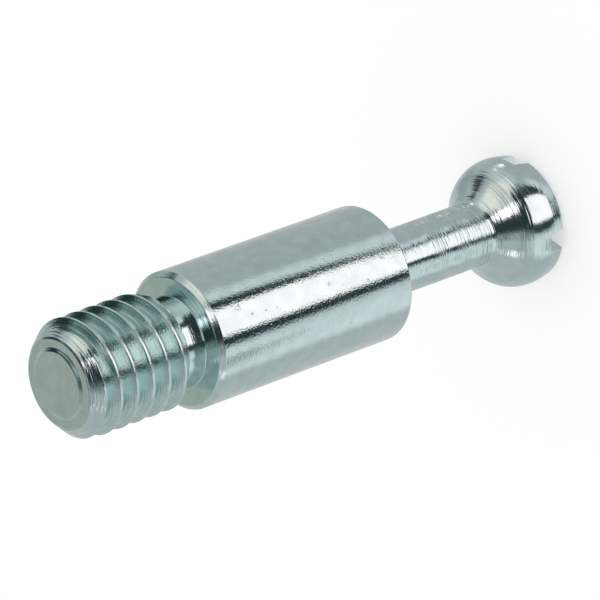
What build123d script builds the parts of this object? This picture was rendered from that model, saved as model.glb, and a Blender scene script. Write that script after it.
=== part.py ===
"""Cam lock bolt: the turned connecting bolt of knock-down furniture.

The bolt is one piece of free-cutting steel, turned from bar and zinc plated. Its metric
end screws into a side panel up to the face of the collar. The collar then stands in a
hole through the edge of the mating panel, and a cam in that panel grips the ball head
behind the narrow neck and pulls the two panels together.

The bolt stands on its ball head: the origin is the centre of the head's end face and +Z
runs up the axis to the threaded end. All sizes are millimetres.
"""

from build123d import *
from math import radians, tan
import os

# Head, from its end face to the neck
head_diameter = 6.69
head_end_diameter = 5.0
head_end_bevel = 0.22
head_rim_diameter = 6.48
head_rim_length = 0.68
head_land_length = 0.2
ball_radius = 2.0
flare_angle = 48.0
flare_fillet = 0.45

# Cross slot sunk in the head's end face
slot_width = 1.1
slot_depth = 1.17
slot_draft_angle = 4.5

# Neck that the cam closes round
neck_diameter = 3.32
neck_length = 7.36

# Collar that fills the hole in the panel's edge
collar_diameter = 6.95
collar_length = 12.43
collar_panel_chamfer = 0.25
collar_neck_chamfer = 0.08

# Undercut between the collar and the thread
undercut_diameter = 4.6
undercut_length = 1.1
undercut_run_angle = 30.0
undercut_fillet = 0.12

# Thread, left as its outside diameter, and the turned end face with its raised centre
thread_diameter = 5.97
thread_length = 5.0
thread_chamfer_length = 0.78
end_face_diameter = 4.62
end_boss_diameter = 3.48
end_boss_height = 0.12


def head_outline():
    """End face, bevelled rim, slightly tapered side and the widest land."""
    return Polyline(
        (0, 0),
        (head_end_diameter / 2, 0),
        (head_rim_diameter / 2, head_end_bevel),
        (head_diameter / 2, head_end_bevel + head_rim_length),
        (head_diameter / 2, head_end_bevel + head_rim_length + head_land_length),
    )


def ball_outline(start):
    """Ball-shaped shoulder, an arc that runs from the land to the slope of the flare."""
    centre = start - Vector(ball_radius, 0)
    return CenterArc(centre, ball_radius, 0, flare_angle)


def neck_outline(start):
    """Flare down to the neck, rounded where they meet, and the neck itself."""
    drop = start.X - neck_diameter / 2
    corner = Vector(neck_diameter / 2, start.Y + drop / tan(radians(flare_angle)))
    return FilletPolyline(start, corner, corner + Vector(0, neck_length), radius=flare_fillet)


def collar_outline(start):
    """Square shoulder at the neck, the collar's side and the chamfer of its bearing face."""
    radius = collar_diameter / 2
    bottom = start.Y
    top = bottom + collar_length
    return Polyline(
        start,
        (radius - collar_neck_chamfer, bottom),
        (radius, bottom + collar_neck_chamfer),
        (radius, top - collar_panel_chamfer),
        (radius - collar_panel_chamfer, top),
    )


def undercut_outline(start):
    """Bearing face, then the groove at its root, with rounded corners and a sloped way out."""
    corner = Vector(undercut_diameter / 2, start.Y)
    floor_end = corner + Vector(0, undercut_length)
    depth = (thread_diameter - undercut_diameter) / 2
    way_out = floor_end + Vector(depth, depth * tan(radians(undercut_run_angle)))
    return FilletPolyline(start, corner, floor_end, way_out, radius=undercut_fillet)


def thread_outline(start):
    """Outside of the thread, its lead-in chamfer, the end face and the raised centre."""
    chamfer_start = start.Y + thread_length
    face = chamfer_start + thread_chamfer_length
    return Polyline(
        start,
        (thread_diameter / 2, chamfer_start),
        (end_face_diameter / 2, face),
        (end_boss_diameter / 2, face),
        (end_boss_diameter / 2, face + end_boss_height),
        (0, face + end_boss_height),
    )


def turned_blank():
    """The bolt as it leaves the lathe: its half outline turned about the axis."""
    head = head_outline()
    ball = ball_outline(head @ 1)
    neck = neck_outline(ball @ 1)
    collar = collar_outline(neck @ 1)
    undercut = undercut_outline(collar @ 1)
    thread = thread_outline(undercut @ 1)
    axis_line = Line(thread @ 1, (0, 0))
    half_section = make_face([head, ball, neck, collar, undercut, thread, axis_line])
    return revolve(Plane.XZ * half_section, axis=Axis.Z)


def slot_cutter(turn):
    """One slot's cutter: widest at the end face, with drafted sides and a flat floor."""
    mouth = Rectangle(2 * head_diameter, slot_width)
    side_inset = slot_depth * tan(radians(slot_draft_angle))
    floor = Rectangle(2 * head_diameter, slot_width - 2 * side_inset)
    cutter = loft([mouth.face(), Plane.XY.offset(slot_depth) * floor.face()])
    return Rot(0, 0, turn) * cutter


def cam_bolt():
    """The finished bolt: the turned blank with a cross slot for the screwdriver."""
    bolt = turned_blank()
    for turn in (0, 90):
        bolt -= slot_cutter(turn)
    return bolt


bolt = cam_bolt()
os.makedirs("parts", exist_ok=True)
export_step(bolt.solid(), "parts/bolt.step")
print("bolt height", round(bolt.bounding_box().size.Z, 3), "mm")
print("bolt volume", round(bolt.volume, 2), "mm3")
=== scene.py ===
# %% [markdown]
# # A cam lock bolt in zinc-plated steel
#
# The object is one turned piece of steel: a threaded end, a smooth collar, a slim neck and a
# ball head with a cross slot. The CAD frame gives its size and place, and stays for the physics.
# Here one finer mesh takes its place on screen, with the real thread, and gets its plated finish.

# %% Load the frame
from math import ceil, cos, pi, radians, sin, sqrt, tan

import bpy
from mathutils import Euler, Matrix, Vector


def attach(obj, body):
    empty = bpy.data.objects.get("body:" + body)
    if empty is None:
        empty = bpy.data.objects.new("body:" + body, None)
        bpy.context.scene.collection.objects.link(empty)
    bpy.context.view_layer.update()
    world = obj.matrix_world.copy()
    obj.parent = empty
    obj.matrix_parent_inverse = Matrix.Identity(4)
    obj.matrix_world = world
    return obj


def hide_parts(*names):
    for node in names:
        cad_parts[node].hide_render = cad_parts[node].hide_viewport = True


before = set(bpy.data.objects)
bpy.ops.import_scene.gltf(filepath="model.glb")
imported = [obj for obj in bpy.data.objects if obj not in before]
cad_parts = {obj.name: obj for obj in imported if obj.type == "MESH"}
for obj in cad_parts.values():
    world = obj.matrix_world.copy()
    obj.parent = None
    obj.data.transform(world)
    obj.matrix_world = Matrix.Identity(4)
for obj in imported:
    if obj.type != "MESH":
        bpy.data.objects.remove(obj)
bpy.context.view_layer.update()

# %% [markdown]
# ## One helper for all nodes
#
# Geometry, material and world trees are all built from the same step: make a node, set its
# options, then fill its inputs with plain values or with links from other nodes. One function
# for that step keeps each recipe below short enough to read as a formula. A second one turns
# colours, which are written as sRGB hex codes, into the linear light that shaders count in.


# %% The node helper
def node(tree, kind, settings=None, inputs=None):
    """Add a node. An input is a value, another node (its first output) or an output socket."""
    made = tree.nodes.new(kind)
    for name, value in (settings or {}).items():
        setattr(made, name, value)
    for key, value in (inputs or {}).items():
        if isinstance(value, bpy.types.Node):
            value = value.outputs[0]
        if isinstance(value, bpy.types.NodeSocket):
            tree.links.new(value, made.inputs[key])
        else:
            made.inputs[key].default_value = value
    return made


def to_linear(hex_colour):
    """An sRGB hex colour as the linear RGBA that shader sockets take."""
    channels = [int(hex_colour[i:i + 2], 16) / 255 for i in (1, 3, 5)]
    return [c / 12.92 if c <= 0.04045 else ((c + 0.055) / 1.055) ** 2.4 for c in channels] + [1]


print("half-bright #808080 is only", round(to_linear("#808080")[0], 3), "in linear light")

# %% [markdown]
# ## The turned outline
#
# A lathe part is fully described by half of its section. The corners below are the bolt's own
# sizes in millimetres, from the head's end face to the threaded end. Each corner has a radius,
# because tumbling and plating leave no edge truly sharp, and on bright metal it is the rounded
# edge that carries the thin light or dark line which makes a part look real.

# %% Sizes of the bolt
MM = 0.001
HEAD_END = 0.0
HEAD_END_RADIUS = 2.5
HEAD_BEVEL = 0.22
RIM_RADIUS = 3.24
HEAD_RADIUS = 3.345
LAND_START, LAND_END = 0.90, 1.10
BALL_RADIUS = 2.0
FLARE_ANGLE = radians(48)
NECK_RADIUS = 1.66
NECK_LENGTH = 7.36
COLLAR_RADIUS = 3.475
COLLAR_LENGTH = 12.43
COLLAR_CHAMFER = 0.25
UNDERCUT_RADIUS = 2.3
UNDERCUT_LENGTH = 1.1
CREST_RADIUS = 2.985
ROOT_RADIUS = 2.35
FLANK_ANGLE = radians(30)
THREAD_LENGTH = 5.0
END_CHAMFER_LENGTH = 0.78
END_RIM_RADIUS = 2.31
END_RIM_DROP = 0.05
END_FACE_RADIUS = 2.2
BOSS_RADIUS = 1.72
BOSS_HEIGHT = 0.12
BOSS_SLOPE = 0.2

ball_end = Vector((HEAD_RADIUS - BALL_RADIUS + BALL_RADIUS * cos(FLARE_ANGLE),
                   LAND_END + BALL_RADIUS * sin(FLARE_ANGLE)))
neck_start = ball_end.y + (ball_end.x - NECK_RADIUS) / tan(FLARE_ANGLE)
collar_start = neck_start + NECK_LENGTH
collar_end = collar_start + COLLAR_LENGTH
undercut_end = collar_end + UNDERCUT_LENGTH
way_out = (CREST_RADIUS - UNDERCUT_RADIUS) * tan(FLANK_ANGLE)
thread_end = undercut_end + way_out + THREAD_LENGTH
end_face = thread_end + END_CHAMFER_LENGTH
print("collar from", round(collar_start, 3), "to", round(collar_end, 3), "mm,",
      "end face at", round(end_face, 3), "mm")


# %% Rounded corners and arcs
def rounded(corners, steps=5):
    """Corners as (radius from axis, height, rounding). Each rounding becomes an arc."""
    points = [Vector(corners[0][:2])]
    for before, here, after in zip(corners, corners[1:], corners[2:]):
        corner, r = Vector(here[:2]), here[2]
        to_before = (Vector(before[:2]) - corner).normalized()
        to_after = (Vector(after[:2]) - corner).normalized()
        half_angle = to_before.angle(to_after) / 2
        centre = corner + (to_before + to_after).normalized() * r / sin(half_angle)
        start = corner + to_before * r / tan(half_angle) - centre
        end = corner + to_after * r / tan(half_angle) - centre
        points += [centre + r * start.slerp(end, i / steps) for i in range(steps + 1)]
    return points + [Vector(corners[-1][:2])]


def ball_arc(steps=40):
    """The ball's shoulder, from the widest land to the slope of the flare."""
    centre = Vector((HEAD_RADIUS - BALL_RADIUS, LAND_END))
    angles = [FLARE_ANGLE * i / steps for i in range(1, steps)]
    return [centre + BALL_RADIUS * Vector((cos(a), sin(a))) for a in angles]


print("the ball's shoulder takes", len(ball_arc()), "points")

# %% [markdown]
# ## The thread follows a rule
#
# A thread could be a swept profile or a screw modifier, but both leave open ends and do not run
# out into a chamfer. Here a grid is wrapped round the axis, its rows leaning along the helix, and
# each point's radius comes from a rule: how far it lies, along the axis, from the nearest crest.
# The rule is cut by the turned envelope, so the thread fades into its chamfer and its undercut by
# itself. The grid starts and ends on a plain circle, where the turned surfaces take over. The
# first circle lies in the undercut, the last on the lead-in cone just before the end's rim. The
# crest height is where a crest passes the X axis, so it says how far the thread is turned. Flanks
# at 60 degrees to each other fall by the root of three for each millimetre along the axis.

# %% Sizes of the thread
PITCH = 1.0
CREST_HEIGHT = 24.41
CREST_FLAT = 0.12
FLANK_SLOPE = sqrt(3)
CREST_ROUNDING = 0.04
ROOT_ROUNDING = 0.2
RUN_OUT_ROUNDING = 0.1
ROWS_PER_PITCH = 32
COLUMNS = 256
GRID_START = 23.9375
GRID_END_RADIUS = 2.335

end_rim = end_face - END_RIM_DROP
cone_slope = (CREST_RADIUS - END_RIM_RADIUS) / (end_rim - thread_end)
grid_end = end_rim - (GRID_END_RADIUS - END_RIM_RADIUS) / cone_slope
thread_rows = ROWS_PER_PITCH * (ceil((grid_end - GRID_START) / PITCH) + 1) + 1
print("thread grid from", GRID_START, "to", round(grid_end, 3), "mm in", thread_rows, "rows")

# %% [markdown]
# ## The outline in two lines
#
# With the thread's two circles known, the outline is written as corners again: one line from the
# middle of the head's end face to the undercut, and one from the lead-in cone to the middle of
# the threaded end. The ball's shoulder is a long arc between two corners, so it is worked out.

# %% The outline as two lines of points
head_to_ball = rounded([
    (0, HEAD_END, 0),
    (HEAD_END_RADIUS, HEAD_END, 0.12),
    (RIM_RADIUS, HEAD_BEVEL, 0.1),
    (HEAD_RADIUS, LAND_START, 0.6),
    (HEAD_RADIUS, LAND_END, 0),
])
flare_to_undercut = rounded([
    (*ball_end, 0),
    (NECK_RADIUS, neck_start, 0.45),
    (NECK_RADIUS, collar_start, 0.05),
    (COLLAR_RADIUS, collar_start, 0.1),
    (COLLAR_RADIUS, collar_end - COLLAR_CHAMFER, 0.06),
    (COLLAR_RADIUS - COLLAR_CHAMFER, collar_end, 0.05),
    (UNDERCUT_RADIUS, collar_end, 0.05),
    (UNDERCUT_RADIUS, GRID_START, 0),
])
threaded_end = rounded([
    (GRID_END_RADIUS, grid_end, 0),
    (END_RIM_RADIUS, end_rim, 0.04),
    (END_FACE_RADIUS, end_face, 0.05),
    (BOSS_RADIUS + BOSS_SLOPE / 2, end_face, 0.1),
    (BOSS_RADIUS - BOSS_SLOPE / 2, end_face + BOSS_HEIGHT, 0.1),
    (0, end_face + BOSS_HEIGHT, 0),
])
lower_line = head_to_ball + ball_arc() + flare_to_undercut
print("outline points:", len(lower_line), "below the thread,", len(threaded_end), "above it")

# %% [markdown]
# ## Turning the outline
#
# A lathe makes a surface by turning a line about an axis. The node group does the same with a
# flat grid: each row takes one point of the outline, and each column one angle. The last column
# lands on the first and the points on the axis land on each other, so a merge closes them later.


# %% The turned surfaces as a node group
def new_group(name, inputs):
    """A geometry group with the named inputs and one geometry output."""
    tree = bpy.data.node_groups.new(name, "GeometryNodeTree")
    for label, kind in inputs.items():
        tree.interface.new_socket(label, in_out="INPUT", socket_type="NodeSocket" + kind)
    tree.interface.new_socket("Geometry", in_out="OUTPUT", socket_type="NodeSocketGeometry")
    return tree, node(tree, "NodeGroupInput").outputs


def unit_grid(tree, rows, columns):
    """A flat grid, and each point's place on it, from -0.5 to 0.5 along X for rows and Y for columns."""
    grid = node(tree, "GeometryNodeMeshGrid", None,
                {"Size X": 1, "Size Y": 1, "Vertices X": rows, "Vertices Y": columns})
    place = node(tree, "ShaderNodeSeparateXYZ", None, {0: node(tree, "GeometryNodeInputPosition")})
    return grid, place.outputs


def lathe_group():
    """Turns a stretch of the outline's points about Z: one grid row for each point."""
    tree, ask = new_group("lathe", {"Outline": "Geometry", "First": "Int", "Points": "Int",
                                    "Columns": "Int"})
    grid, place = unit_grid(tree, ask["Points"], ask["Columns"])
    last = node(tree, "ShaderNodeMath", {"operation": "SUBTRACT"}, {0: ask["Points"], 1: 1.0})
    across = node(tree, "ShaderNodeMath", {"operation": "ADD"}, {0: place["X"], 1: 0.5})
    row = node(tree, "ShaderNodeMath", {"operation": "MULTIPLY_ADD"},
               {0: across, 1: last, 2: ask["First"]})
    whole = node(tree, "FunctionNodeFloatToInt", {"rounding_mode": "ROUND"}, {0: row})
    sample = node(tree, "GeometryNodeSampleIndex", {"data_type": "FLOAT_VECTOR"},
                  {"Geometry": ask["Outline"], "Value": node(tree, "GeometryNodeInputPosition"),
                   "Index": whole})
    turn = node(tree, "ShaderNodeMath", {"operation": "MULTIPLY_ADD"},
                {0: place["Y"], 1: 2 * pi, 2: pi})
    turned = node(tree, "ShaderNodeVectorRotate", {"rotation_type": "Z_AXIS"},
                  {"Vector": sample, "Angle": turn})
    shaped = node(tree, "GeometryNodeSetPosition", None, {"Geometry": grid, "Position": turned})
    node(tree, "NodeGroupOutput", None, {"Geometry": shaped})
    return tree


lathe = lathe_group()
print("group", lathe.name, "has", len(lathe.nodes), "nodes")

# %% [markdown]
# ## Wrapping the thread
#
# The rule is a list of sums, each with a name that later lines can use, as in a notebook. A real
# thread has 60 degrees between its flanks, a narrow flat on the crest and a rounded root, so the
# rule takes the flank's straight slope and softens it into the crest above and the root below.

# %% The rule for a point of the thread
THREAD_INPUTS = {
    "Rows": "Int", "Columns": "Int", "Rows per Pitch": "Int", "Pitch": "Float", "Start": "Float",
    "End": "Float", "Crest Height": "Float", "Crest Radius": "Float", "Root Radius": "Float",
    "Undercut End": "Float", "Undercut Radius": "Float", "End Rim": "Float",
    "End Rim Radius": "Float", "Cone Slope": "Float"}
# the sum's name, its operation, then its terms: an input, X or Y on the grid, an earlier sum or a number
THREAD_RULE = [
    ("turns", "ADD", "Y", 0.5),
    ("angle", "MULTIPLY", "turns", 2 * pi),
    ("share", "ADD", "X", 0.5),
    ("last row", "SUBTRACT", "Rows", 1.0),
    ("row", "MULTIPLY", "share", "last row"),
    ("level pitches", "DIVIDE", "row", "Rows per Pitch"),
    ("leaning pitches", "ADD", "level pitches", "turns"),
    ("pitches", "SUBTRACT", "leaning pitches", 1.0),
    ("leaning height", "MULTIPLY_ADD", "pitches", "Pitch", "Start"),
    ("from start", "MAXIMUM", "leaning height", "Start"),
    ("height", "MINIMUM", "from start", "End"),
    ("above crest", "SUBTRACT", "height", "Crest Height"),
    ("level crests", "DIVIDE", "above crest", "Pitch"),
    ("crests", "SUBTRACT", "level crests", "turns"),
    ("to nearest crest", "PINGPONG", "crests", 0.5),
    ("off crest", "MULTIPLY", "to nearest crest", "Pitch"),
    ("off flat", "SUBTRACT", "off crest", CREST_FLAT * MM / 2),
    ("fall", "MULTIPLY", "off flat", FLANK_SLOPE),
    ("flank", "SUBTRACT", "Crest Radius", "fall"),
    ("crested", "SMOOTH_MIN", "flank", "Crest Radius", CREST_ROUNDING * MM),
    ("threaded", "SMOOTH_MAX", "crested", "Root Radius", ROOT_ROUNDING * MM),
    ("past undercut", "SUBTRACT", "height", "Undercut End"),
    ("rise", "MULTIPLY", "past undercut", FLANK_SLOPE),
    ("out of undercut", "ADD", "rise", "Undercut Radius"),
    ("run-out", "SMOOTH_MAX", "out of undercut", "Undercut Radius", RUN_OUT_ROUNDING * MM),
    ("below rim", "SUBTRACT", "End Rim", "height"),
    ("spread", "MULTIPLY", "below rim", "Cone Slope"),
    ("cone", "ADD", "spread", "End Rim Radius"),
    ("begun", "MINIMUM", "threaded", "run-out"),
    ("radius", "MINIMUM", "begun", "cone"),
]
print("the thread's rule has", len(THREAD_RULE), "sums")


# %% The thread as a node group
def thread_group():
    """A grid whose rows lean along a right-hand helix, with its radius from the thread's rule."""
    tree, ask = new_group("thread", THREAD_INPUTS)
    grid, place = unit_grid(tree, ask["Rows"], ask["Columns"])
    known = {"X": place["X"], "Y": place["Y"], **{label: ask[label] for label in THREAD_INPUTS}}
    for name, operation, *terms in THREAD_RULE:
        values = [known.get(term, term) for term in terms]
        known[name] = node(tree, "ShaderNodeMath", {"operation": operation, "label": name},
                           dict(enumerate(values)))
    flat = node(tree, "ShaderNodeCombineXYZ", None, {"X": known["radius"], "Z": known["height"]})
    turned = node(tree, "ShaderNodeVectorRotate", {"rotation_type": "Z_AXIS"},
                  {"Vector": flat, "Angle": known["angle"]})
    shaped = node(tree, "GeometryNodeSetPosition", None, {"Geometry": grid, "Position": turned})
    node(tree, "NodeGroupOutput", None, {"Geometry": shaped})
    return tree


thread = thread_group()
print("group", thread.name, "has", len(thread.nodes), "nodes")

# %% [markdown]
# ## The cross slot
#
# A screwdriver's cross slot is sunk in the head's end face: two arms at a right angle, a little
# wider at the mouth than at the floor. A cutter with the same draft is taken from the solid, as
# the tool does it, so walls, floor and the curved line where they meet the ball come out true.

# %% Sizes of the slot
SLOT_WIDTH = 1.1
SLOT_DEPTH = 1.17
SLOT_DRAFT = tan(radians(4.5))
SLOT_REACH = 8.0
print("slot floor", round(SLOT_WIDTH - 2 * SLOT_DEPTH * SLOT_DRAFT, 3), "mm wide,", SLOT_DEPTH, "mm deep")


# %% The cutter as a node group
def slot_group():
    """Two crossed bars. Each starts 2 wide, so Y is -1 or 1, and takes the half width at its height."""
    tree, ask = new_group("cross slot", {"Width": "Float", "Depth": "Float", "Draft": "Float",
                                         "Reach": "Float"})
    tall = node(tree, "ShaderNodeMath", {"operation": "MULTIPLY"}, {0: ask["Depth"], 1: 2.0})
    size = node(tree, "ShaderNodeCombineXYZ", None, {"X": ask["Reach"], "Y": 2.0, "Z": tall})
    bar = node(tree, "GeometryNodeMeshCube", None, {"Size": size})
    place = node(tree, "ShaderNodeSeparateXYZ", None, {0: node(tree, "GeometryNodeInputPosition")})
    drawn_in = node(tree, "ShaderNodeMath", {"operation": "MULTIPLY"},
                    {0: place.outputs["Z"], 1: ask["Draft"]})
    half = node(tree, "ShaderNodeMath", {"operation": "MULTIPLY"}, {0: ask["Width"], 1: 0.5})
    half_here = node(tree, "ShaderNodeMath", {"operation": "SUBTRACT"}, {0: half, 1: drawn_in})
    side = node(tree, "ShaderNodeMath", {"operation": "MULTIPLY"}, {0: place.outputs["Y"], 1: half_here})
    there = node(tree, "ShaderNodeCombineXYZ", None,
                 {"X": place.outputs["X"], "Y": side, "Z": place.outputs["Z"]})
    arm = node(tree, "GeometryNodeSetPosition", None, {"Geometry": bar, "Position": there})
    other = node(tree, "GeometryNodeTransform", None, {"Geometry": arm, "Rotation": (0, 0, pi / 2)})
    both = node(tree, "GeometryNodeMeshBoolean", {"operation": "UNION", "solver": "MANIFOLD"})
    for one_arm in (arm, other):
        tree.links.new(one_arm.outputs[0], both.inputs["Mesh 2"])
    node(tree, "NodeGroupOutput", None, {"Geometry": both})
    return tree


slot = slot_group()
print("group", slot.name, "has", len(slot.nodes), "nodes")

# %% [markdown]
# ## Zinc plating
#
# The steel is plated with a few thousandths of a millimetre of zinc, and a clear passivation seals
# it. To the eye that is a bright mirror with a cool, slightly green tint, which lies in faint
# clouds because the sealing film is not even. Each bounce of light takes the tint again, so
# grooves and corners turn teal. The thread and the undercut also get a greener zinc colour: a
# painted teal tint in the recesses. What differs along the bolt is how the steel was made before plating,
# so each
# finish below adds its own marks to this common base.

# %% The plated steel
ZINC = "#BCCFD0"
# greener zinc for the thread and the undercut: a painted teal tint in the recesses, on top of the teal
# that bouncing light gives there
ZINC_WITH_PAINTED_TEAL = "#BDD3D3"
CLOUD_SIZE = 0.7
CLOUD_STRENGTH = 0.055
CLOUD_CUT = (0.35, 0.65)
RAGGED = 0.6


def patches(tree, place, size, detail, cut, result):
    """Soft patches about as wide as the size in millimetres: noise, stretched from cut to result."""
    soft = node(tree, "ShaderNodeTexNoise", None, {"Vector": place, "Scale": 1 / size, "Detail": detail})
    return node(tree, "ShaderNodeMapRange", None, {"Value": soft, "From Min": cut[0], "From Max": cut[1],
                                                   "To Min": result[0], "To Max": result[1]})


def plated(name, colour):
    """A metal material in clouded zinc, with its place in millimetres for the caller's marks."""
    material = bpy.data.materials.new(name)
    material.use_nodes = True
    tree = material.node_tree
    shader = tree.nodes["Principled BSDF"]
    shader.inputs["Metallic"].default_value = 1.0
    place = node(tree, "ShaderNodeTexCoord").outputs["Object"]
    in_mm = node(tree, "ShaderNodeVectorMath", {"operation": "SCALE"}, {0: place, "Scale": 1 / MM})
    clouds = patches(tree, in_mm, CLOUD_SIZE, 3.0, CLOUD_CUT, (0.0, 1.0))
    bright, deep = [[c * share for c in to_linear(colour)[:3]] + [1]
                    for share in (1 + CLOUD_STRENGTH, 1 - CLOUD_STRENGTH)]
    clouded = node(tree, "ShaderNodeMix", {"data_type": "RGBA"}, {0: clouds, 6: bright, 7: deep})
    tree.links.new(clouded.outputs[2], shader.inputs["Base Color"])
    return material, tree, shader, in_mm


def lay_reliefs(tree, shader, reliefs):
    """Bumps laid over each other. Each is a height, one unit high at most, and its real depth."""
    under = {}
    for height, depth in reliefs:
        bump = node(tree, "ShaderNodeBump", None, {"Height": height, "Distance": depth * MM, **under})
        under = {"Normal": bump}
    tree.links.new(bump.outputs[0], shader.inputs["Normal"])


print("zinc reflects", [round(c, 2) for c in to_linear(ZINC)[:3]], "of red, green and blue")

# %% [markdown]
# ## Drawn bar, on the collar
#
# The collar keeps the skin of the cold-drawn bar that the bolt was turned from. Pulled through a
# die, that skin is smooth and nearly a mirror, with weak streaks along the bar, and it picks up
# a few nicks in the tumbling barrel. The plating leaves fine grains on it, which fray the edges
# of reflections. Real zinc grains are a few thousandths of a millimetre wide, too fine for the
# picture, so they are drawn a tenth of a millimetre wide.

# %% Drawn bar
BAR_ROUGHNESS = 0.08
BAR_GRAIN = 0.11
BAR_GRAIN_DEPTH = 0.007
BAR_STREAK = 0.45
BAR_STREAK_DEPTH = 0.001
BAR_STREAK_SQUEEZE = 0.3
NICK_SIZE = 0.35
NICK_CUT = (0.74, 0.78)
NICK_DEPTH = 0.02


def drawn_bar():
    """The collar's skin: fine grains of zinc over long soft streaks of the drawing, and a few nicks."""
    material, tree, shader, in_mm = plated("zinc_on_drawn_bar", ZINC)
    shader.inputs["Roughness"].default_value = BAR_ROUGHNESS
    lengthwise = node(tree, "ShaderNodeMapping", None,
                      {"Vector": in_mm, "Scale": (1, 1, BAR_STREAK_SQUEEZE)})
    streaks = node(tree, "ShaderNodeTexNoise", None,
                   {"Vector": lengthwise, "Scale": 1 / BAR_STREAK, "Detail": 1.0})
    grains = node(tree, "ShaderNodeTexNoise", None,
                  {"Vector": in_mm, "Scale": 1 / BAR_GRAIN, "Detail": 2.0, "Roughness": RAGGED})
    nicks = patches(tree, in_mm, NICK_SIZE, 1.0, NICK_CUT, (0.0, -1.0))
    lay_reliefs(tree, shader,
                [(streaks, BAR_STREAK_DEPTH), (grains, BAR_GRAIN_DEPTH), (nicks, NICK_DEPTH)])
    return material


bar_finish = drawn_bar()
print("finish", bar_finish.name, "has", len(bar_finish.node_tree.nodes), "nodes")

# %% [markdown]
# ## Turned steel, on the head, the neck and the chamfers
#
# A turning tool leaves rings, which smear a highlight across them: that is why bright turned
# parts shine in fans and bands. The wide bands come from the shader's anisotropy, along the way
# that the tool ran. The rings that the eye can count are noise that only sees radius and height,
# with patches where the tool cut rougher. Real feed marks lie a few hundredths of a millimetre
# apart, too fine for the picture, so the rings are drawn one to two tenths apart.

# %% Turned steel
TURNED_ROUGHNESS = 0.11
TURNED_ANISOTROPY = 0.4
RING_WANDER = 0.05
ROUGH_PATCH = 1.3
ROUGH_CUT = (0.4, 0.6)
ROUGH_RANGE = (0.3, 1.0)
PLATING_GRAIN = 0.1
TURNED_GRAIN_DEPTH = 0.003


def from_axis(tree, in_mm):
    """The place's three parts, and its offset from the bolt's axis."""
    parts = node(tree, "ShaderNodeSeparateXYZ", None, {0: in_mm}).outputs
    return parts, node(tree, "ShaderNodeCombineXYZ", None, {"X": parts["X"], "Y": parts["Y"]})


def turned_steel(name, colour, ring_spacing, ring_depth):
    """Rings of the turning tool, their spacing and depth in millimetres, under the plating's grain."""
    material, tree, shader, in_mm = plated(name, colour)
    shader.inputs["Roughness"].default_value = TURNED_ROUGHNESS
    shader.inputs["Anisotropic"].default_value = TURNED_ANISOTROPY
    parts, offset = from_axis(tree, in_mm)
    radius = node(tree, "ShaderNodeVectorMath", {"operation": "LENGTH"}, {0: offset}).outputs["Value"]
    wander = node(tree, "ShaderNodeMath", {"operation": "MULTIPLY"}, {0: parts["X"], 1: RING_WANDER})
    ring = node(tree, "ShaderNodeCombineXYZ", None, {"X": radius, "Y": parts["Z"], "Z": wander})
    marks = node(tree, "ShaderNodeTexNoise", None,
                 {"Vector": ring, "Scale": 1 / ring_spacing, "Detail": 2.0, "Roughness": RAGGED})
    rougher = patches(tree, ring, ROUGH_PATCH, 0.0, ROUGH_CUT, ROUGH_RANGE)
    cut = node(tree, "ShaderNodeMath", {"operation": "MULTIPLY"}, {0: marks, 1: rougher})
    grains = node(tree, "ShaderNodeTexNoise", None,
                  {"Vector": in_mm, "Scale": 1 / PLATING_GRAIN, "Detail": 1.0})
    lay_reliefs(tree, shader, [(cut, ring_depth), (grains, TURNED_GRAIN_DEPTH)])
    square = node(tree, "ShaderNodeVectorMath", {"operation": "CROSS_PRODUCT"}, {0: (0, 0, 1), 1: offset})
    tool_ran = node(tree, "ShaderNodeVectorMath", {"operation": "NORMALIZE"}, {0: square})
    tree.links.new(tool_ran.outputs[0], shader.inputs["Tangent"])
    return material


# name, colour, then spacing and depth of the rings: coarse on the head, deepest on the slim neck
turned_finish = turned_steel("zinc_on_turned_steel", ZINC, 0.18, 0.04)
neck_finish = turned_steel("zinc_on_neck", ZINC, 0.13, 0.07)
chamfer_finish = turned_steel("zinc_on_chamfers", ZINC, 0.11, 0.05)
# the undercut is a recess, so it takes the zinc with the painted teal tint
undercut_finish = turned_steel("zinc_in_undercut", ZINC_WITH_PAINTED_TEAL, 0.15, 0.02)
print("finish", turned_finish.name, "has", len(turned_finish.node_tree.nodes), "nodes")

# %% [markdown]
# ## Cut thread
#
# A die tears the steel a little as it cuts, so the flanks carry marks that run along the helix,
# and the plating lies on them unevenly, here bright and there a little dull. Marks that follow a
# helix are hard to draw in straight coordinates. So the place is first unscrewed: turned back by
# its height, until every line along the thread shrinks to one spot. Plain noise there, blown up
# to the length of one turn, then runs along the thread when seen on the bolt. Real tears are a
# few hundredths of a millimetre wide, too fine for the picture, so they are drawn twice as wide.

# %% Cut thread
TEAR_WIDTH = 0.08
TEAR_DEPTH = 0.027
THREAD_GRAIN_DEPTH = 0.008
THREAD_DRIFT = 0.5
DULL_STREAK = 0.15
DULL_CUT = (0.4, 0.6)
DULL_RANGE = (0.05, 0.16)


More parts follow.
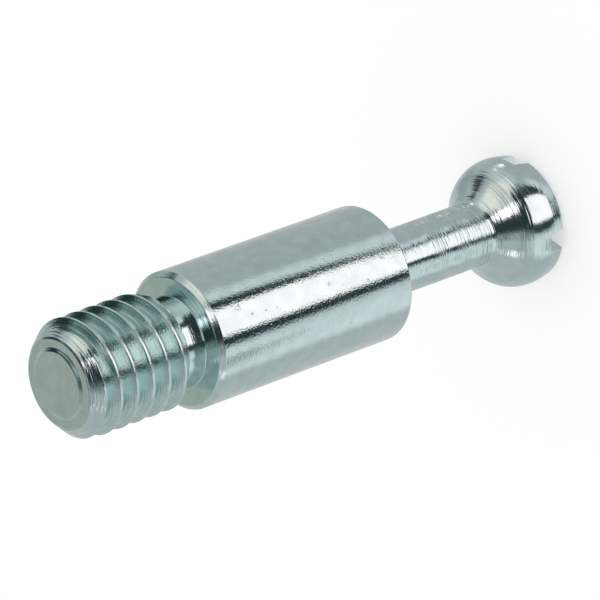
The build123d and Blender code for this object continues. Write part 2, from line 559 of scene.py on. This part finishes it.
def cut_thread():
    """The flanks, torn by the die along the helix, under plating that is here and there dull."""
    # the grooves take the zinc with the painted teal tint
    material, tree, shader, in_mm = plated("zinc_on_cut_thread", ZINC_WITH_PAINTED_TEAL)
    parts, offset = from_axis(tree, in_mm)
    back = node(tree, "ShaderNodeMath", {"operation": "MULTIPLY"}, {0: parts["Z"], 1: -2 * pi / PITCH})
    unscrewed = node(tree, "ShaderNodeVectorRotate", {"rotation_type": "Z_AXIS"},
                     {"Vector": offset, "Angle": back})
    drift = node(tree, "ShaderNodeMath", {"operation": "MULTIPLY"}, {0: parts["X"], 1: THREAD_DRIFT})
    lift = node(tree, "ShaderNodeCombineXYZ", None, {"Z": drift})
    place = node(tree, "ShaderNodeVectorMath", {"operation": "ADD"}, {0: unscrewed, 1: lift})
    turn_per_pitch = pi * (CREST_RADIUS + ROOT_RADIUS) / PITCH
    tears = node(tree, "ShaderNodeTexNoise", None,
                 {"Vector": place, "Scale": 1 / (TEAR_WIDTH * turn_per_pitch), "Detail": 3.0,
                  "Roughness": RAGGED})
    grains = node(tree, "ShaderNodeTexNoise", None,
                  {"Vector": in_mm, "Scale": 1 / PLATING_GRAIN, "Detail": 2.0})
    lay_reliefs(tree, shader, [(tears, TEAR_DEPTH), (grains, THREAD_GRAIN_DEPTH)])
    dull = patches(tree, place, DULL_STREAK * turn_per_pitch, 2.0, DULL_CUT, DULL_RANGE)
    tree.links.new(dull.outputs[0], shader.inputs["Roughness"])
    return material


thread_finish = cut_thread()
print("finish", thread_finish.name, "has", len(thread_finish.node_tree.nodes), "nodes")

# %% [markdown]
# ## Which finish goes where
#
# The finishes change at the bolt's own edges, and those all lie at fixed heights. So a zone is
# just two heights and a finish, and a later zone covers an earlier one. A hair's margin keeps a
# zone off the flat faces at its ends, and the neck's finish starts where the flare has run out.

# %% The zones
HAIR = 0.01
COLLAR_EDGE = 0.02
FLARE_RUN_OUT = 0.1
BEYOND = 1.0
# zone, its lowest and highest height in millimetres, and its finish
ZONES = [
    ("Turned", -BEYOND, end_face + BEYOND, turned_finish),
    ("Neck", neck_start + FLARE_RUN_OUT, collar_start - HAIR, neck_finish),
    ("Bar", collar_start + COLLAR_EDGE, collar_end - COLLAR_CHAMFER, bar_finish),
    ("Collar Chamfer", collar_end - COLLAR_CHAMFER, collar_end - HAIR, chamfer_finish),
    ("Undercut", collar_end - HAIR, undercut_end, undercut_finish),
    ("Thread", undercut_end, thread_end, thread_finish),
    ("End Chamfer", thread_end, end_rim, chamfer_finish),
]
print("finishes:", {zone: finish.name for zone, low, high, finish in ZONES})

# %% [markdown]
# ## Putting the bolt together
#
# The tree joins the two turned stretches and the thread, closes the seams by merging points that
# lie in the same place, and turns the faces outward, because the grids were wrapped the other way
# round. Then it takes the cross slot out of the head, merges the twin points that the cut can
# leave, and ends in Realize Instances and one Set Material for each zone. A tree like this could
# stay live on the object, but an export wants plain faces. So it runs once, on a helper object
# that holds the outline's points, and only the finished mesh is kept.

# %% The bolt's tree
SAME_PLACE = 0.0005


def bolt_tree():
    """The whole bolt from its outline's points."""
    tree, ask = new_group("cam lock bolt", {
        "Outline": "Geometry", "Lower Points": "Int", "End Points": "Int", "Columns": "Int",
        "Thread Rows": "Int", "Pitch": "Float", "Slot Width": "Float", "Slot Depth": "Float",
        **{zone[0] + " Finish": "Material" for zone in ZONES}})
    lower = node(tree, "GeometryNodeGroup", {"node_tree": lathe},
                 {"Outline": ask["Outline"], "First": 0, "Points": ask["Lower Points"],
                  "Columns": ask["Columns"]})
    upper = node(tree, "GeometryNodeGroup", {"node_tree": lathe},
                 {"Outline": ask["Outline"], "First": ask["Lower Points"], "Points": ask["End Points"],
                  "Columns": ask["Columns"]})
    helix = node(tree, "GeometryNodeGroup", {"node_tree": thread}, {
        "Rows": ask["Thread Rows"], "Columns": ask["Columns"], "Rows per Pitch": ROWS_PER_PITCH,
        "Pitch": ask["Pitch"], "Start": GRID_START * MM, "End": grid_end * MM,
        "Crest Height": CREST_HEIGHT * MM, "Crest Radius": CREST_RADIUS * MM,
        "Root Radius": ROOT_RADIUS * MM, "Undercut End": undercut_end * MM,
        "Undercut Radius": UNDERCUT_RADIUS * MM, "End Rim": end_rim * MM,
        "End Rim Radius": END_RIM_RADIUS * MM, "Cone Slope": cone_slope})
    joined = node(tree, "GeometryNodeJoinGeometry")
    for part in (lower, helix, upper):
        tree.links.new(part.outputs[0], joined.inputs[0])
    closed = node(tree, "GeometryNodeMergeByDistance", None,
                  {"Geometry": joined, "Distance": SAME_PLACE * MM})
    outward = node(tree, "GeometryNodeFlipFaces", None, {"Mesh": closed})
    cutter = node(tree, "GeometryNodeGroup", {"node_tree": slot},
                  {"Width": ask["Slot Width"], "Depth": ask["Slot Depth"], "Draft": SLOT_DRAFT,
                   "Reach": SLOT_REACH * MM})
    slotted = node(tree, "GeometryNodeMeshBoolean", {"operation": "DIFFERENCE", "solver": "MANIFOLD"},
                   {"Mesh 1": outward, "Mesh 2": cutter})
    clean = node(tree, "GeometryNodeMergeByDistance", None,
                 {"Geometry": slotted, "Distance": SAME_PLACE * MM})
    painted = node(tree, "GeometryNodeRealizeInstances", None, {"Geometry": clean})
    height = node(tree, "ShaderNodeSeparateXYZ", None,
                  {0: node(tree, "GeometryNodeInputPosition")}).outputs["Z"]
    for zone, low, high, finish in ZONES:
        above = node(tree, "FunctionNodeCompare", {"operation": "GREATER_THAN"}, {0: height, 1: low * MM})
        below = node(tree, "FunctionNodeCompare", {"operation": "LESS_THAN"}, {0: height, 1: high * MM})
        between = node(tree, "FunctionNodeBooleanMath", {"operation": "AND"}, {0: above, 1: below})
        painted = node(tree, "GeometryNodeSetMaterial", None,
                       {"Geometry": painted, "Selection": between, "Material": ask[zone + " Finish"]})
    node(tree, "NodeGroupOutput", None, {"Geometry": painted})
    return tree


whole_bolt = bolt_tree()
print("tree", whole_bolt.name, "has", len(whole_bolt.nodes), "nodes")


# %% From the outline's points to a plain mesh
def grow_bolt():
    """Put the outline in a mesh, run the tree on it and keep the result as a plain mesh."""
    outline = bpy.data.meshes.new("outline")
    points = lower_line + threaded_end
    outline.from_pydata([(p.x * MM, 0, p.y * MM) for p in points], [], [])
    source = bpy.data.objects.new("outline", outline)
    bpy.context.scene.collection.objects.link(source)
    modifier = source.modifiers.new("bolt", "NODES")
    modifier.node_group = whole_bolt
    values = {"Lower Points": len(lower_line), "End Points": len(threaded_end), "Columns": COLUMNS + 1,
              "Thread Rows": thread_rows, "Pitch": PITCH * MM, "Slot Width": SLOT_WIDTH * MM,
              "Slot Depth": SLOT_DEPTH * MM}
    values.update({zone + " Finish": finish for zone, low, high, finish in ZONES})
    for socket in whole_bolt.interface.items_tree:
        if socket.name in values:
            modifier[socket.identifier] = values[socket.name]
    grown = source.evaluated_get(bpy.context.evaluated_depsgraph_get())
    mesh = bpy.data.meshes.new_from_object(grown)
    bpy.data.objects.remove(source)
    if mesh.materials[0] is None:
        mesh.materials.pop(index=0)
    return mesh


bolt_mesh = grow_bolt()
bolt_mesh.name = "bolt_mesh"
print("bolt mesh:", len(bolt_mesh.vertices), "points,", len(bolt_mesh.polygons), "faces,",
      "materials", [m.name if m else None for m in bolt_mesh.materials])

# %% [markdown]
# ## Smooth and sharp
#
# Bright metal shows every facet, so all faces are shaded smooth, apart from true edges such as
# the slot's, which stay sharp because their faces meet at more than the limit angle.

# %% The bolt object
SHARP_ANGLE = radians(35)
bolt_mesh.polygons.foreach_set("use_smooth", [True] * len(bolt_mesh.polygons))
bolt_mesh.set_sharp_from_angle(angle=SHARP_ANGLE)
bolt = bpy.data.objects.new("plated_bolt", bolt_mesh)
bpy.context.scene.collection.objects.link(bolt)
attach(bolt, "root")
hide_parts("bolt")
print("bolt height", round(bolt.dimensions.z / MM, 3), "mm")

# %% [markdown]
# ## The camera
#
# The photographer's bolt lies on a table and the camera looks down on it a little. Our bolt
# stands on its head, so the same view is a camera turned on its side: it looks at the standing
# bolt from the same angle, and its roll lays the picture down. A long lens far away keeps the
# sides nearly parallel, as in the photograph.

# %% Camera values
CAMERA_AZIMUTH = radians(33)
CAMERA_ELEVATION = radians(38)
CAMERA_ROLL = radians(109.96)
CAMERA_DISTANCE = 267.635 * MM
CAMERA_TARGET = Vector((-0.137, -0.089, 15.245)) * MM
LENS = 327.9
SENSOR = 36.0
NEAREST, FARTHEST = 0.01, 10.0

back = Vector((sin(CAMERA_AZIMUTH) * cos(CAMERA_ELEVATION), -cos(CAMERA_AZIMUTH) * cos(CAMERA_ELEVATION),
               sin(CAMERA_ELEVATION)))
level_right = Vector((cos(CAMERA_AZIMUTH), sin(CAMERA_AZIMUTH), 0))
level_up = back.cross(level_right)
up = level_up * cos(CAMERA_ROLL) + level_right * sin(CAMERA_ROLL)
right = up.cross(back)
view_turn = Matrix((right, up, back)).transposed()
optics = bpy.data.cameras.new("camera")
optics.lens = LENS
optics.sensor_width = SENSOR
optics.clip_start = NEAREST
optics.clip_end = FARTHEST
camera = bpy.data.objects.new("camera", optics)
camera.matrix_world = Matrix.Translation(CAMERA_TARGET + back * CAMERA_DISTANCE) @ view_turn.to_4x4()
bpy.context.scene.collection.objects.link(camera)
bpy.context.scene.camera = camera
print("camera at", [round(c, 4) for c in camera.matrix_world.translation], "m")

# %% [markdown]
# ## The studio
#
# A bright metal part has hardly a look of its own: it shows the room. So the room is built with
# care, as a sky of panels: pale table and walls, a large soft box to the right, a weaker one
# behind on the left, a few cards and small lamps, and the dark room that shows between them. Each
# panel is a rectangle on an upright wall one metre away, placed as a photographer would place it
# round the lying bolt. The lamps are slightly rosy, which takes back the zinc's cool tint, so
# that highlights stay white while the rest of the metal looks cool.

# %% The studio's axes
STUDIO_CAMERA_DROP = radians(23.6)
studio = view_turn @ Euler((pi / 2 - STUDIO_CAMERA_DROP, 0, 0)).to_matrix().inverted()
print("the lying bolt's up is", [round(c, 3) for c in studio.col[2]], "for the standing one")


def wall_axes(azimuth):
    """Right, up and outward axes of the wall at an azimuth: 0 is ahead of the camera, 90 its right."""
    a = radians(azimuth)
    return (studio @ Vector((cos(a), -sin(a), 0)), studio @ Vector((0, 0, 1)),
            studio @ Vector((sin(a), cos(a), 0)))


# %% [markdown]
# ## One panel
#
# A panel could be a glowing plane, but a plane also lights the floor and shows up in side views.
# Painted on the sky it only appears where metal looks for it. A direction is followed to the
# panel's wall, and there it is a plain question whether the spot lies inside the rectangle.

# %% The panel mask
BARELY_AHEAD = 0.0001


def panel_group():
    """1 where a direction meets a rectangle on its wall, 0 elsewhere, with soft edges."""
    tree = bpy.data.node_groups.new("panel", "ShaderNodeTree")
    for label in ("Direction", "Right", "Up", "Outward", "Centre", "Half Size"):
        tree.interface.new_socket(label, in_out="INPUT", socket_type="NodeSocketVector")
    tree.interface.new_socket("Edge", in_out="INPUT", socket_type="NodeSocketFloat")
    tree.interface.new_socket("Mask", in_out="OUTPUT", socket_type="NodeSocketFloat")
    ask = node(tree, "NodeGroupInput").outputs
    along = [node(tree, "ShaderNodeVectorMath", {"operation": "DOT_PRODUCT"},
                  {0: ask["Direction"], 1: ask[axis]}).outputs["Value"]
             for axis in ("Right", "Up", "Outward")]
    ahead = node(tree, "ShaderNodeMath", {"operation": "MAXIMUM"}, {0: along[2], 1: BARELY_AHEAD})
    on_wall = node(tree, "ShaderNodeCombineXYZ", None, {
        "X": node(tree, "ShaderNodeMath", {"operation": "DIVIDE"}, {0: along[0], 1: ahead}),
        "Y": node(tree, "ShaderNodeMath", {"operation": "DIVIDE"}, {0: along[1], 1: ahead})})
    off = node(tree, "ShaderNodeVectorMath", {"operation": "SUBTRACT"}, {0: on_wall, 1: ask["Centre"]})
    size = node(tree, "ShaderNodeVectorMath", {"operation": "ABSOLUTE"}, {0: off})
    past = node(tree, "ShaderNodeVectorMath", {"operation": "SUBTRACT"}, {0: size, 1: ask["Half Size"]})
    outside = node(tree, "ShaderNodeSeparateXYZ", None, {0: past})
    farther = node(tree, "ShaderNodeMath", {"operation": "MAXIMUM"},
                   {0: outside.outputs["X"], 1: outside.outputs["Y"]})
    inner = node(tree, "ShaderNodeMath", {"operation": "MULTIPLY"}, {0: ask["Edge"], 1: -1.0})
    mask = node(tree, "ShaderNodeMapRange", {"interpolation_type": "SMOOTHSTEP"},
                {"Value": farther, "From Min": ask["Edge"], "From Max": inner,
                 "To Min": 0.0, "To Max": 1.0})
    node(tree, "NodeGroupOutput", None, {"Mask": mask})
    return tree


panel = panel_group()
print("group", panel.name, "has", len(panel.nodes), "nodes")

# %% [markdown]
# ## All panels
#
# Each place on the metal mirrors one direction of the room. So every light or dark patch in the
# photograph, followed back over the surface that shows it, says where a panel must hang, how
# large it is and how soft its edge. Azimuths run clockwise from straight ahead of the camera.

# %% The panels
# name, wall's azimuth, left, right, bottom and top edge in metres, softness, colour, strength;
# a later panel covers an earlier one
PANELS = [
    ("ceiling", 0, -9.0, 9.0, 1.7, 60.0, 0.5, "#FFFFFF", 0.6),
    ("ceiling left", 270, -1.4, 1.3, 1.15, 60.0, 0.3, "#FFFFFF", 0.8),
    ("table glow", 120, -1.7, 0.72, -1.05, -0.16, 0.25, "#FFFFFF", 1.02),
    ("warm table", 278, -0.9, 0.6, -1.6, -0.1, 0.15, "#FDFFF2", 0.535),
    ("wall glow", 60, -0.12, 0.33, 0.05, 2.2, 0.12, "#FFFFFF", 0.92),
    ("dim table", 218, -0.45, 0.45, -0.85, -0.1, 0.2, "#FFFFFF", 0.45),
    ("far wall", 218, -0.35, 0.25, -0.3, 0.12, 0.12, "#B8FFF6", 0.18),
    ("dark room", 150, -4.5, 1.9, -0.1, 4.6, 0.07, "#CCF6FF", 0.05),
    ("dark ceiling", 170, -1.2, 0.5, 2.5, 8.0, 0.4, "#FFFFFF", 0.2),
    ("dim floor", 172, -0.2, 0.28, -0.27, 0.0, 0.08, "#FFFFFF", 0.3),
    ("window behind", 203, -0.14, 0.14, 0.42, 0.82, 0.05, "#FFE9EC", 3.0),
    ("fill box", 240, -0.6, 0.6, 0.9, 4.5, 0.15, "#FFF0E6", 1.28),
    ("dim wall", 252, -0.32, 0.32, 0.12, 0.6, 0.06, "#B8FFF6", 0.2),
    ("dark gap", 250, -0.27, 0.25, -0.1, 0.2, 0.05, "#FFFFFF", 0.04),
    ("dim corner", 318, -0.15, 0.14, -0.1, 0.26, 0.08, "#F0FFFC", 0.5),
    ("dark doorway", 284, -0.25, 0.29, -0.02, 0.53, 0.05, "#B0FFFA", 0.05),
    ("dark lintel", 294, -0.15, 0.13, 0.49, 0.78, 0.08, "#D0F4FF", 0.08),
    ("small lamp", 345, -0.14, 0.12, 0.86, 1.17, 0.03, "#FFE9EC", 2.4),
    ("white card", 107, -0.05, 0.06, -0.3, -0.14, 0.02, "#FFFFFF", 1.15),
    ("grey card", 103, -0.1, 0.09, -0.72, -0.34, 0.04, "#FFFFFF", 0.5),
    ("gap of light", 158, -0.03, 0.03, -0.6, -0.25, 0.02, "#FFFFFF", 1.1),
    ("dark corner", 60, -0.27, 0.14, -0.03, 0.33, 0.05, "#B0FCFF", 0.1),
    ("lamp below", 191, -0.06, 0.06, -1.02, -0.7, 0.03, "#FFE9EC", 2.2),
    ("key box", 140, -1.88, 0.29, 0.2, 1.51, 0.03, "#FFEDEC", 1.82),
]
print("studio panels:", [row[0] for row in PANELS])

# %% [markdown]
# ## The world
#
# Three kinds of ray look at the world. The camera sees plain white, as in a cut-out product
# picture. Metal sees the studio, painted panel over panel on a pale table and walls that meet in
# a soft horizon. All other light is plain white, so the scene is lit evenly.

# %% Build the world
TABLE_LIGHT = 0.66
WALL_LIGHT = 0.585
HORIZON_START = radians(-6)
HORIZON_END = radians(-1)


def build_world():
    """White to the camera, the studio's panels to metal, and plain white light for the rest."""
    world = bpy.data.worlds.new("studio")
    bpy.context.scene.world = world
    world.use_nodes = True
    tree = world.node_tree
    tree.nodes.clear()
    direction = node(tree, "ShaderNodeTexCoord").outputs["Generated"]
    level = node(tree, "ShaderNodeVectorMath", {"operation": "DOT_PRODUCT"},
                 {0: direction, 1: studio.col[2]}).outputs["Value"]
    grey = node(tree, "ShaderNodeMapRange", {"interpolation_type": "SMOOTHSTEP"},
                {"Value": level, "From Min": sin(HORIZON_START), "From Max": sin(HORIZON_END),
                 "To Min": TABLE_LIGHT, "To Max": WALL_LIGHT})
    colour = node(tree, "ShaderNodeCombineColor", None, {0: grey, 1: grey, 2: grey})
    for name, azimuth, left, right_edge, bottom, top, edge, tint, strength in PANELS:
        wall_right, wall_up, outward = wall_axes(azimuth)
        mask = node(tree, "ShaderNodeGroup", {"node_tree": panel, "label": name}, {
            "Direction": direction, "Right": wall_right, "Up": wall_up, "Outward": outward,
            "Centre": ((left + right_edge) / 2, (bottom + top) / 2, 0),
            "Half Size": ((right_edge - left) / 2, (top - bottom) / 2, 0), "Edge": edge})
        shade = [c * strength for c in to_linear(tint)[:3]] + [1]
        colour = node(tree, "ShaderNodeMix", {"data_type": "RGBA"},
                      {0: mask, 6: colour, 7: shade}).outputs[2]
    path = node(tree, "ShaderNodeLightPath").outputs
    to_metal = node(tree, "ShaderNodeMath", {"operation": "MAXIMUM"},
                    {0: path["Is Glossy Ray"], 1: path["Is Transmission Ray"]})
    plain = node(tree, "ShaderNodeBackground", None, {"Color": (1, 1, 1, 1), "Strength": 1.0})
    room = node(tree, "ShaderNodeBackground", None, {"Color": colour, "Strength": 1.0})
    shown = node(tree, "ShaderNodeMixShader", None, {0: to_metal, 1: plain, 2: room})
    node(tree, "ShaderNodeOutputWorld", None, {"Surface": shown})
    return world


studio_world = build_world()
print("world", studio_world.name, "has", len(studio_world.node_tree.nodes), "nodes")

# %% [markdown]
# ## The floor
#
# The floor is a matt white table top, plain and pale, and keeps the soft shadow under the head.
# Its grey base takes the shadow, and a glow lifts it to the white of the picture. Reflections
# pass it by, because the studio's table and panels already stand round the lying bolt.

# %% The floor
FLOOR_SIZE = 3.0
FLOOR_COLOUR = "#BCBCBC"
FLOOR_GLOW = 0.52
half = FLOOR_SIZE / 2
floor_mesh = bpy.data.meshes.new("floor")
floor_mesh.from_pydata([(-half, -half, 0), (half, -half, 0), (half, half, 0), (-half, half, 0)], [],
                       [(0, 1, 2, 3)])
floor = bpy.data.objects.new("floor", floor_mesh)
bpy.context.scene.collection.objects.link(floor)
floor.visible_glossy = False
floor.visible_shadow = False
floor_finish = bpy.data.materials.new("matt_white_table")
floor_finish.use_nodes = True
floor_shader = floor_finish.node_tree.nodes["Principled BSDF"]
floor_shader.inputs["Base Color"].default_value = to_linear(FLOOR_COLOUR)
floor_shader.inputs["Roughness"].default_value = 1.0
floor_shader.inputs["Specular IOR Level"].default_value = 0.0
floor_shader.inputs["Emission Color"].default_value = (1, 1, 1, 1)
floor_shader.inputs["Emission Strength"].default_value = FLOOR_GLOW
floor_mesh.materials.append(floor_finish)
print("floor", FLOOR_SIZE, "m wide")

# %% [markdown]
# ## Finish
#
# The picture uses the plain Standard transform, so colours come out as written.

# %% Set the colour transform
bpy.context.scene.view_settings.view_transform = "Standard"
